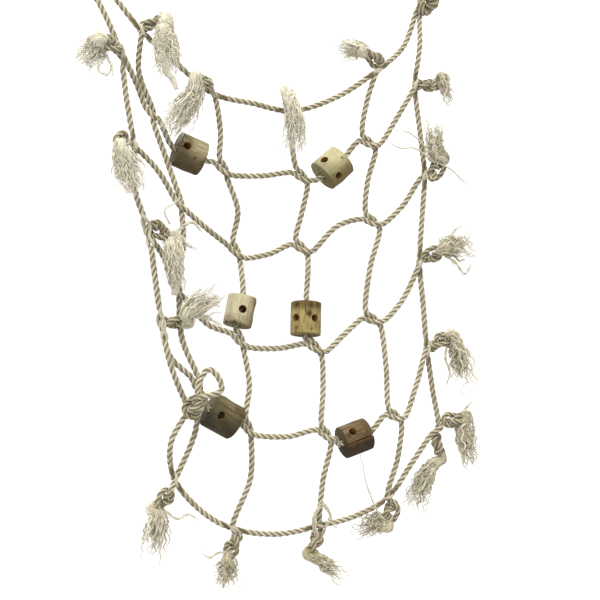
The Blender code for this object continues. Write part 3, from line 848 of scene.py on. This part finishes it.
def rope_piece(name, strands, tight, first, last, material):
    """One stretch of a laid rope as three closed strands, each shaded from groove to crown."""
    rope = bpy.context.scene.rope_net_rope
    part = slice(first, last + 1)
    cut = [strand[part] for strand in strands]
    along = np.arange(first, last + 1) * STEP / MM
    facts = [np.stack((along + 7 * third, np.zeros(len(along))), axis=1) for third in range(3)]
    made = tubes(name, cut, [STRAND_RADIUS * tight[part]] * 3, STRAND_SIDES, facts)
    # how far a ring's side stands from the middle of the three strands, which sets the painted shade from
    # groove to crown
    middle = np.tile(np.repeat(sum(cut) / 3, STRAND_SIDES, axis=0), (3, 1))
    count = len(made.data.vertices)
    points = np.empty(count * 3)
    made.data.vertices.foreach_get("co", points)
    out = np.linalg.norm(points.reshape(-1, 3) - middle, axis=1) / (rope.diameter / 2)
    # parted strands get less painted shade on their sides, so these are as pale as their crowns
    apart = np.mean([np.linalg.norm(strand - sum(cut) / 3, axis=1) for strand in cut], axis=0)
    parted = np.clip(apart / (STRAND_OUT * rope.diameter) - 1.15, 0, 1)
    out += 0.8 * np.tile(np.repeat(parted, STRAND_SIDES), 3)
    lay = made.data.attributes["lay"].data
    values = np.empty(count * 3)
    lay.foreach_get("vector", values)
    values = values.reshape(-1, 3)
    values[:, 2] = np.clip(out, 0, 1)
    lay.foreach_set("vector", values.ravel())
    made.data.materials.append(material)
    return made


def rest(piece, body, slot, *nodes):
    """Fix a piece to its body, in place of the CAD nodes that it stands for. The slot is not used."""
    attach(piece, body)
    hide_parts(*nodes)
    return piece


HEARTS = 6                     # bundles of matted yarn in the middle of a tassel


def along_core(core, values, share):
    """Values given at a tassel's core points, read at shares of its length."""
    at = share * (len(core) - 1)
    return np.stack([np.interp(at, np.arange(len(core)), values[:, k]) for k in range(3)], axis=1)


FULLY_COMBED = 330             # number of fibres on a tassel that is combed right out


def tassel(edge, number, root, direction, material):
    """A rope's frayed end. Thick yarns that keep the waves of their lay swell out of the knot and
    part, thinner ones curl away from them, and wisps of combed out fibre stand all over."""
    settings = bpy.context.scene.rope_net_tassel
    _, _, middle, tip, spread, yarn_count, curl, fibre_count = tassel_facts(edge, number)
    rng = np.random.default_rng(1000 * len(edge) + 17 * number + ord(edge[0]))
    middle, tip = places(middle), places(tip)
    core, _ = smooth_route([root - direction * 2 * MM, root, root + direction * 5 * MM, middle, tip,
                            tip + 0.2 * (tip - middle)], 1.0 * MM)
    length = len(core)
    _, normals, binormals = carried_frames(core)
    fluffy = fibre_count / FULLY_COMBED
    lines, radii, facts = [], [], []

    def lay_out(share, heading, depth, swing, wave, tilt):
        """One yarn's line: out from the core by its place in the tuft, with its own waves."""
        width = 2.2 + (spread - 2.2) * np.clip(share / 0.55, 0, 1) ** 0.8
        wander = heading + 0.35 * np.sin(share * 5 + tilt)
        side = along_core(core, normals, share)
        over = along_core(core, binormals, share)
        line = along_core(core, core, share)
        away = np.cos(wander)[:, None] * side + np.sin(wander)[:, None] * over
        line = line + (width * depth * MM)[:, None] * away
        turn = 2 * math.pi * share * length / wave + tilt * 3
        lift = swing * np.clip(share * 4, 0.15, 1) * MM
        return line + (lift * np.cos(turn))[:, None] * side + (lift * np.sin(turn + tilt))[:, None] * over

    def keep(line, share, thickness, tone):
        lines.append(line)
        radii.append(thickness)
        tone = np.broadcast_to(np.clip(tone, 0, 1), share.shape)
        facts.append(np.stack((share * length + 13 * len(lines), tone), axis=1))

    # matted hearts
    for index in range(HEARTS):
        share = np.linspace(0, rng.uniform(0.7, 0.85), 18)
        grown = np.linspace(0, 1, 18)
        line = lay_out(share, 6.28 * index / HEARTS, 0.42, 0.9, rng.uniform(10, 16), rng.uniform(0, 6.28))
        swell = np.sin(math.pi * np.clip(0.12 + 0.8 * grown, 0, 1)) ** 0.8
        body = (1.0 + 0.3 * spread * (0.55 + 0.45 * fluffy) * swell) * (1 - grown**4)
        tone = 0.1 + 0.55 * fluffy + 0.2 * grown + rng.normal(0, 0.06)
        keep(line, share, (body * (1 + 0.12 * np.sin(share * 60 + index)) + 0.1) * MM, tone)
    # thick yarns
    for index in range(int(yarn_count * (0.4 + 0.55 * fluffy))):
        share = np.linspace(0, rng.uniform(0.55, 1.0), 22)
        depth = math.sqrt(rng.uniform(0.0, 0.8))
        grown = np.linspace(0, 1, 22)
        line = lay_out(share, rng.uniform(0, 6.28), depth, 0.55 * curl * rng.uniform(0.4, 1.4),
                       rng.uniform(8, 15), rng.uniform(0, 6.28))
        line = line + grown[:, None] ** 2 * rng.normal(size=3) * 0.32 * spread * MM
        tone = 0.55 * fluffy + 0.25 * grown + rng.normal(0, 0.14)
        thickness = settings.yarn / 2 * (1.7 - 0.7 * fluffy) * (1 - 0.7 * grown**1.5) * rng.uniform(0.65, 1.2)
        keep(line, share, thickness * (1 + 0.12 * np.sin(grown * 40 + index)), tone)
    # thin yarns that curl away
    for _ in range(int(yarn_count * (0.5 + 0.8 * fluffy))):
        start = rng.uniform(0.0, 0.5)
        share = np.linspace(start, min(1.0, start + rng.uniform(0.3, 0.75)), 20)
        grown = np.linspace(0, 1, 20)
        line = lay_out(share, rng.uniform(0, 6.28), rng.uniform(0.4, 1.1), curl * rng.uniform(0.4, 1.3),
                       rng.uniform(6, 16), rng.uniform(0, 6.28))
        line = line + grown[:, None] ** 2 * rng.normal(size=3) * 0.45 * spread * MM
        tone = 0.05 + 0.55 * fluffy + 0.25 * grown + rng.normal(0, 0.14)
        thickness = settings.yarn / 4 * (1.5 - 0.5 * fluffy) * (1 - 0.6 * grown) * rng.uniform(0.5, 1.3)
        keep(line, share, thickness, tone)
    # wisps of fibre
    for _ in range(int(fibre_count * 2.2 * fluffy)):
        start = rng.uniform(0.02, 0.92)
        share = np.linspace(start, min(1.0, start + rng.uniform(0.06, 0.22)), 8)
        line = lay_out(share, rng.uniform(0, 6.28), rng.uniform(0.5, 1.0), 0.5, rng.uniform(6, 14),
                       rng.uniform(0, 6.28))
        grown = np.linspace(0, 1, 8)
        line = line + grown[:, None] ** 1.5 * rng.normal(size=3) * (1.6 + 2.2 * fluffy) * MM
        tone = 0.15 + 0.55 * fluffy + 0.3 * grown + rng.normal(0, 0.1)
        keep(line, share, settings.fibre / 2 * (1 - 0.6 * grown), tone)
    # the yarns that stand away by themselves, with their own wisps
    for _, _, thickness, way_points in [yarn for yarn in LONE_YARNS if yarn[:2] == (edge, number)]:
        bend, _ = smooth_route(places(way_points), 1.2 * MM)
        grown = np.linspace(0, 1, len(bend))
        _, side, over = carried_frames(bend)
        strands = max(1, int(thickness / 1.3))
        for index in range(strands):
            turn = grown * len(bend) * 0.42 + 6.28 * index / strands
            swing = thickness * 0.26 * MM * (strands > 1) + 0.5 * MM * np.sin(grown * 21 + index) * grown
            line = bend + swing[:, None] * (np.cos(turn)[:, None] * side + np.sin(turn)[:, None] * over)
            heft = thickness * MM / (2 if strands == 1 else 3.2)
            keep(line, grown * 0.8, heft * (1 - 0.55 * grown**2), 0.1 + 0.5 * fluffy + 0.3 * grown)
        for _ in range(int(8 * thickness)):
            start = rng.integers(0, max(1, len(bend) - 8))
            piece = bend[start:start + 8]
            share = np.linspace(0, 1, len(piece))
            out = share[:, None] ** 1.3 * rng.normal(size=3) * 2.6 * MM
            base = rng.normal(size=3) * thickness * 0.2 * MM
            keep(piece + base + out, share * 0.3, settings.fibre / 2 * (1 - 0.6 * share), 0.5 + 0.3 * fluffy)
    made = tubes(f"tassel_{edge}_{number}_yarns", lines, radii, 4, facts)
    made.data.materials.append(material)
    return rest(made, "net", "frayed_rope", f"tassel_{edge}_{number}")


# ---------------------------------------------------------------- blocks

def cutter(shape_of, name):
    """An object for a Boolean to cut with, shaped by a function."""
    mesh = bpy.data.meshes.new(name)
    shape = bmesh.new()
    shape_of(shape)
    shape.to_mesh(mesh)
    shape.free()
    made = bpy.data.objects.new(name, mesh)
    bpy.context.collection.objects.link(made)
    return made


def drill_shape(diameter, length, distance, turn):
    """A round drill through a block: along it, or across it at a distance and turn."""
    def shape_of(shape):
        bmesh.ops.create_cone(shape, cap_ends=True, segments=40, radius1=diameter / 2,
                              radius2=diameter / 2, depth=length)
        if turn is not None:
            across = Matrix.Translation((0, 0, distance)) @ Matrix.Rotation(turn, 4, "Z")
            across = across @ Matrix.Rotation(math.pi / 2, 4, "Y")
            bmesh.ops.transform(shape, matrix=across, verts=shape.verts)
    return shape_of


def split_shape(length, radius, depth, turn, gape, start, stop):
    """A drying split: a thin wedge that opens to the outside and closes towards the pith."""
    def shape_of(shape):
        bmesh.ops.create_cube(shape, size=1.0)
        bmesh.ops.scale(shape, vec=(depth, gape, length * (stop - start)), verts=shape.verts)
        long_edges = [e for e in shape.edges if abs((e.verts[0].co - e.verts[1].co).z) > gape]
        bmesh.ops.subdivide_edges(shape, edges=long_edges, cuts=7)
        for vertex in shape.verts:
            if vertex.co.x < 0:
                vertex.co.y *= 0.1
            vertex.co.z += length * (start + stop) / 2
            vertex.co.y += 0.3 * MM * math.sin(vertex.co.z * 420)
            vertex.co.x += radius - depth * 0.42
        bmesh.ops.rotate(shape, matrix=Matrix.Rotation(turn, 3, "Z"), verts=shape.verts)
        bmesh.ops.recalc_face_normals(shape, faces=shape.faces)
    return shape_of


# Splits on each block: turn in degrees, depth and gape in millimetres, and where they start and
# stop as shares of the block's length from its middle
SPLITS = {
    1: ((86, 5, 1.8, -0.6, -0.25),),
    5: ((48, 4, 1.2, -0.1, 0.6), (62, 3, 0.9, -0.3, 0.6)),
    6: ((90, 9, 1.9, -0.6, 0.6),),
}


def wood_block(index, facts):
    """A debarked length of branch, not quite round, bored for the rope and drilled across."""
    settings = bpy.context.scene.rope_net_wood
    *_, centre, axis, length, diameter, holes = facts
    radius = diameter / 2 * MM
    length = length * MM
    mesh = bpy.data.meshes.new(f"branch_block_{index}")
    shape = bmesh.new()
    bmesh.ops.create_cone(shape, cap_ends=True, segments=96, radius1=radius, radius2=radius, depth=length)
    walls = [e for e in shape.edges if abs((e.verts[0].co - e.verts[1].co).z) > 0.5 * length]
    bmesh.ops.subdivide_edges(shape, edges=walls, cuts=23)
    rims = [e for e in shape.edges if abs(abs(e.verts[0].co.z) - length / 2) < 1e-6
            and abs(abs(e.verts[1].co.z) - length / 2) < 1e-6]
    bmesh.ops.bevel(shape, geom=rims, offset=settings.rim, segments=3, profile=0.5,
                    affect="EDGES", material=-1)
    rng = random.Random(index)
    bumps = [(rng.uniform(0, 6.28), rng.uniform(-0.4, 0.4) * length, rng.uniform(3, 7) * MM,
              rng.uniform(-0.7, 0.9) * MM) for _ in range(7)]
    for vertex in shape.verts:
        place = vertex.co
        angle = math.atan2(place.y, place.x)
        out = 1 + 0.025 * math.cos(2 * angle + index)
        out += 0.006 * math.sin(7 * angle + 3 * index + 90 * place.z)
        out += 0.004 * math.sin(13 * angle + 2 * index)
        swell = 0
        for turn, height, width, size in bumps:
            gap = math.hypot(math.remainder(angle - turn, 2 * math.pi) * radius, place.z - height)
            swell += size * math.exp(-(gap / width) ** 2)
        share = math.hypot(place.x, place.y) / radius
        out += swell / radius * share
        place.x *= out
        place.y *= out
    shape.to_mesh(mesh)
    shape.free()
    made = bpy.data.objects.new(f"branch_block_{index}", mesh)
    bpy.context.collection.objects.link(made)
    tools = [cutter(drill_shape(settings.bore, 2 * length, 0, None), "bore")]
    for distance, turn in holes:
        shape_of = drill_shape(settings.side_hole, 3 * radius, distance * MM, math.radians(turn))
        tools.append(cutter(shape_of, "side_hole"))
    for turn, depth, gape, start, stop in SPLITS.get(index, ()):
        shape_of = split_shape(length, radius, depth * MM, math.radians(turn), gape * MM, start, stop)
        tools.append(cutter(shape_of, "split"))
    for tool in tools:
        cut = made.modifiers.new(tool.name, "BOOLEAN")
        cut.operation = "DIFFERENCE"
        cut.solver = "EXACT"
        cut.object = tool
    bpy.context.view_layer.update()
    finished = bpy.data.meshes.new_from_object(made.evaluated_get(bpy.context.evaluated_depsgraph_get()))
    made.modifiers.clear()
    made.data = finished
    bpy.data.meshes.remove(mesh)
    for tool in tools:
        used = tool.data
        bpy.data.objects.remove(tool)
        bpy.data.meshes.remove(used)
    grain = finished.attributes.new("grain", "FLOAT_VECTOR", "POINT")
    points = np.empty(len(finished.vertices) * 3)
    finished.vertices.foreach_get("co", points)
    grain.data.foreach_set("vector", points / MM + np.tile((0, 0, GRAIN_STEP * index), len(points) // 3))
    cut_faces = finished.attributes.new("cut", "FLOAT_VECTOR", "FACE")
    kinds = []
    for face in finished.polygons:
        place = face.center
        out = math.hypot(place.x, place.y)
        on_end = abs(face.normal.z) > 0.8 and abs(place.z) > length / 2 - 1.5 * MM
        inwards = out > 1e-6 and (face.normal.x * place.x + face.normal.y * place.y) / out < 0.35
        inside = not on_end and inwards and abs(place.z) < length / 2 - 0.2 * MM
        kinds += [1.0 if on_end else 0.0, 1.0 if inside else 0.0, 0.0]
    cut_faces.data.foreach_set("vector", kinds)
    finished.shade_smooth()
    finished.set_sharp_from_angle(angle=math.radians(35))
    turn = Vector(axis).to_track_quat("Z", "X").to_matrix().to_4x4()
    finished.transform(Matrix.Translation(Vector(centre) * MM) @ turn)
    finished.materials.append(branch_material(index))
    return rest(made, f"block_{index}", "branch_wood", f"wood_block_{index}")


# ---------------------------------------------------------------- operators

class ROPENET_OT_border(bpy.types.Operator):
    """Lay up the border rope, with its loops, its corner knots and its two end knots"""
    bl_idname = "ropenet.border"
    bl_label = "Border Rope"

    def execute(self, context):
        rope = bpy.data.materials.get("laid_natural_fibre_rope") or laid_rope_material()
        line, parts = border_route()
        tucked = []
        for edge in ("top", "right", "bottom", "left"):
            for number in range(1, 5):
                _, passing, through = rope_end(edge, number)
                place, _, direction = border_crossing(edge, number)
                side = unit(np.cross(direction, through))
                tucked.append((direction, through, passing, -(passing - place).dot(side)))
        tight = drawn_tight(len(line), [ends for name, *ends in parts if "knot" in name])
        strands = laid_up(line, tight, tucked)
        names = {}
        for name, first, last in parts:
            names[name] = names.get(name, 0) + 1
            made = rope_piece(f"{name}_strands_{names[name]}", strands, tight, first, last, rope)
            rest(made, "net", "twisted_rope", name)
        return {"FINISHED"}


class ROPENET_OT_inner_ropes(bpy.types.Operator):
    """Lay up the four upright and four level ropes, with the knots at their ends"""
    bl_idname = "ropenet.inner_ropes"
    bl_label = "Inner Ropes and Knots"

    def execute(self, context):
        rope = bpy.data.materials.get("laid_natural_fibre_rope") or laid_rope_material()
        for kind, edges in (("upright", ("top", "bottom")), ("level", ("left", "right"))):
            for number in range(1, 5):
                line, first, last = inner_route(kind, number)
                tight = drawn_tight(len(line), [(0, first), (last, len(line) - 1)])
                strands = laid_up(line, tight)
                body = rope_piece(f"{kind}_rope_{number}_strands", strands, tight, first, last, rope)
                rest(body, "net", "twisted_rope", f"{kind}_rope_{number}")
                ends = ((edges[0], 0, first), (edges[1], last, len(line) - 1))
                for edge, start, end in ends:
                    made = rope_piece(f"end_knot_{edge}_{number}_strands", strands, tight, start, end, rope)
                    rest(made, "net", "twisted_rope", f"end_knot_{edge}_{number}")
        return {"FINISHED"}


class ROPENET_OT_tassels(bpy.types.Operator):
    """Fray the end of each rope into a tassel of yarns and fibres"""
    bl_idname = "ropenet.tassels"
    bl_label = "Tassels"

    def execute(self, context):
        yarn = loose_yarn_material()
        for edge, number, *_ in TASSELS:
            if edge == "corner":
                knot = corner_end(number)
                root, before = knot[-1], knot[-2]
            else:
                knot, _, _ = rope_end(edge, number)
                root, before = knot[0], knot[1]
            tassel(edge, number, root, unit(root - before), yarn)
        return {"FINISHED"}


class ROPENET_OT_blocks(bpy.types.Operator):
    """Turn, drill and weather the wooden blocks that are threaded on the ropes"""
    bl_idname = "ropenet.blocks"
    bl_label = "Wooden Blocks"

    def execute(self, context):
        for index, facts in enumerate(BLOCKS, 1):
            wood_block(index, facts)
        return {"FINISHED"}


CAMERA_PLACE = Vector((-168, -1136, -357)) * MM
CAMERA_AIM = Vector((226, -2, -357)) * MM
VIEW_ANGLE = 2 * math.atan(0.3 / 1.2)
KEY_OFFSET = Vector((-0.8, -1.2, 1.8))     # from the net's middle to the key light, in metres
WALLS = 1.03                   # brightness of the studio room's walls


class ROPENET_OT_studio(bpy.types.Operator):
    """Set the camera, the pale floor and the soft lights"""
    bl_idname = "ropenet.studio"
    bl_label = "Studio"

    def execute(self, context):
        settings = context.scene.rope_net_studio
        low, high = (Vector(corner) for corner in CAD_BOX)
        view = bpy.data.cameras.new("camera")
        view.sensor_fit = "HORIZONTAL"
        view.angle = VIEW_ANGLE
        camera = bpy.data.objects.new("camera", view)
        camera.location = CAMERA_PLACE
        camera.rotation_euler = (CAMERA_AIM - CAMERA_PLACE).to_track_quat("-Z", "Y").to_euler()
        context.collection.objects.link(camera)
        context.scene.camera = camera

        mesh = bpy.data.meshes.new("floor")
        shape = bmesh.new()
        bmesh.ops.create_circle(shape, cap_ends=True, segments=64, radius=9.0)
        shape.to_mesh(mesh)
        shape.free()
        floor = bpy.data.objects.new("floor", mesh)
        floor.location = ((low.x + high.x) / 2, 0, low.z - settings.floor_drop)
        context.collection.objects.link(floor)
        # plain matt studio card
        card, _, shader = new_material("matt_white_card", 0.9, 0.0)
        shader.inputs["Base Color"].default_value = (*linear("#AEAEAE"), 1)
        mesh.materials.append(card)

        # a white room under a wide soft ceiling light, so the sky brightens towards its top
        world = bpy.data.worlds.new("studio")
        world.use_nodes = True
        sky = world.node_tree
        direction = add(sky, "ShaderNodeTexCoord").outputs["Generated"]
        parts = add(sky, "ShaderNodeSeparateXYZ", ((0, direction),))
        height = add(sky, "ShaderNodeMath", ((0, parts.outputs["Z"]), (1, 0.0)), operation="MAXIMUM")
        strength = add(sky, "ShaderNodeMath", ((0, height), (1, settings.ceiling), (2, WALLS)),
                       operation="MULTIPLY_ADD")
        sky.nodes["Background"].inputs["Color"].default_value = (1, 1, 1, 1)
        sky.links.new(strength.outputs[0], sky.nodes["Background"].inputs["Strength"])
        context.scene.world = world

        middle = (low + high) / 2
        lamp = bpy.data.lights.new("key_light", "AREA")
        lamp.shape = "DISK"
        lamp.size = 0.9
        lamp.energy = settings.key
        light = bpy.data.objects.new("key_light", lamp)
        light.location = middle + KEY_OFFSET
        light.rotation_euler = (middle - light.location).to_track_quat("-Z", "Y").to_euler()
        context.collection.objects.link(light)
        context.scene.view_settings.view_transform = "Standard"
        return {"FINISHED"}


OPERATORS = (
    ROPENET_OT_studio,
    ROPENET_OT_border,
    ROPENET_OT_inner_ropes,
    ROPENET_OT_tassels,
    ROPENET_OT_blocks,
)


class ROPENET_PT_panel(bpy.types.Panel):
    """Settings of the net, and a button for each group of its pieces"""
    bl_idname = "ROPENET_PT_panel"
    bl_label = "Rope Climbing Net"
    bl_space_type = "VIEW_3D"
    bl_region_type = "UI"
    bl_category = "Rope Net"

    def draw(self, context):
        for name, group in SETTINGS.items():
            box = self.layout.box()
            for setting in group.__annotations__:
                box.prop(getattr(context.scene, name), setting)
        for operator in OPERATORS:
            self.layout.operator(operator.bl_idname)


def register():
    for group in SETTINGS.values():
        bpy.utils.register_class(group)
    for name, group in SETTINGS.items():
        setattr(bpy.types.Scene, name, bpy.props.PointerProperty(type=group))
    for operator in OPERATORS:
        bpy.utils.register_class(operator)
    bpy.utils.register_class(ROPENET_PT_panel)


def unregister():
    bpy.utils.unregister_class(ROPENET_PT_panel)
    for operator in reversed(OPERATORS):
        bpy.utils.unregister_class(operator)
    for name, group in SETTINGS.items():
        delattr(bpy.types.Scene, name)
        bpy.utils.unregister_class(group)


def main():
    register()
    bpy.ops.ropenet.studio()
    bpy.ops.ropenet.border()
    bpy.ops.ropenet.inner_ropes()
    bpy.ops.ropenet.tassels()
    bpy.ops.ropenet.blocks()


if __name__ == "__main__":
    main()
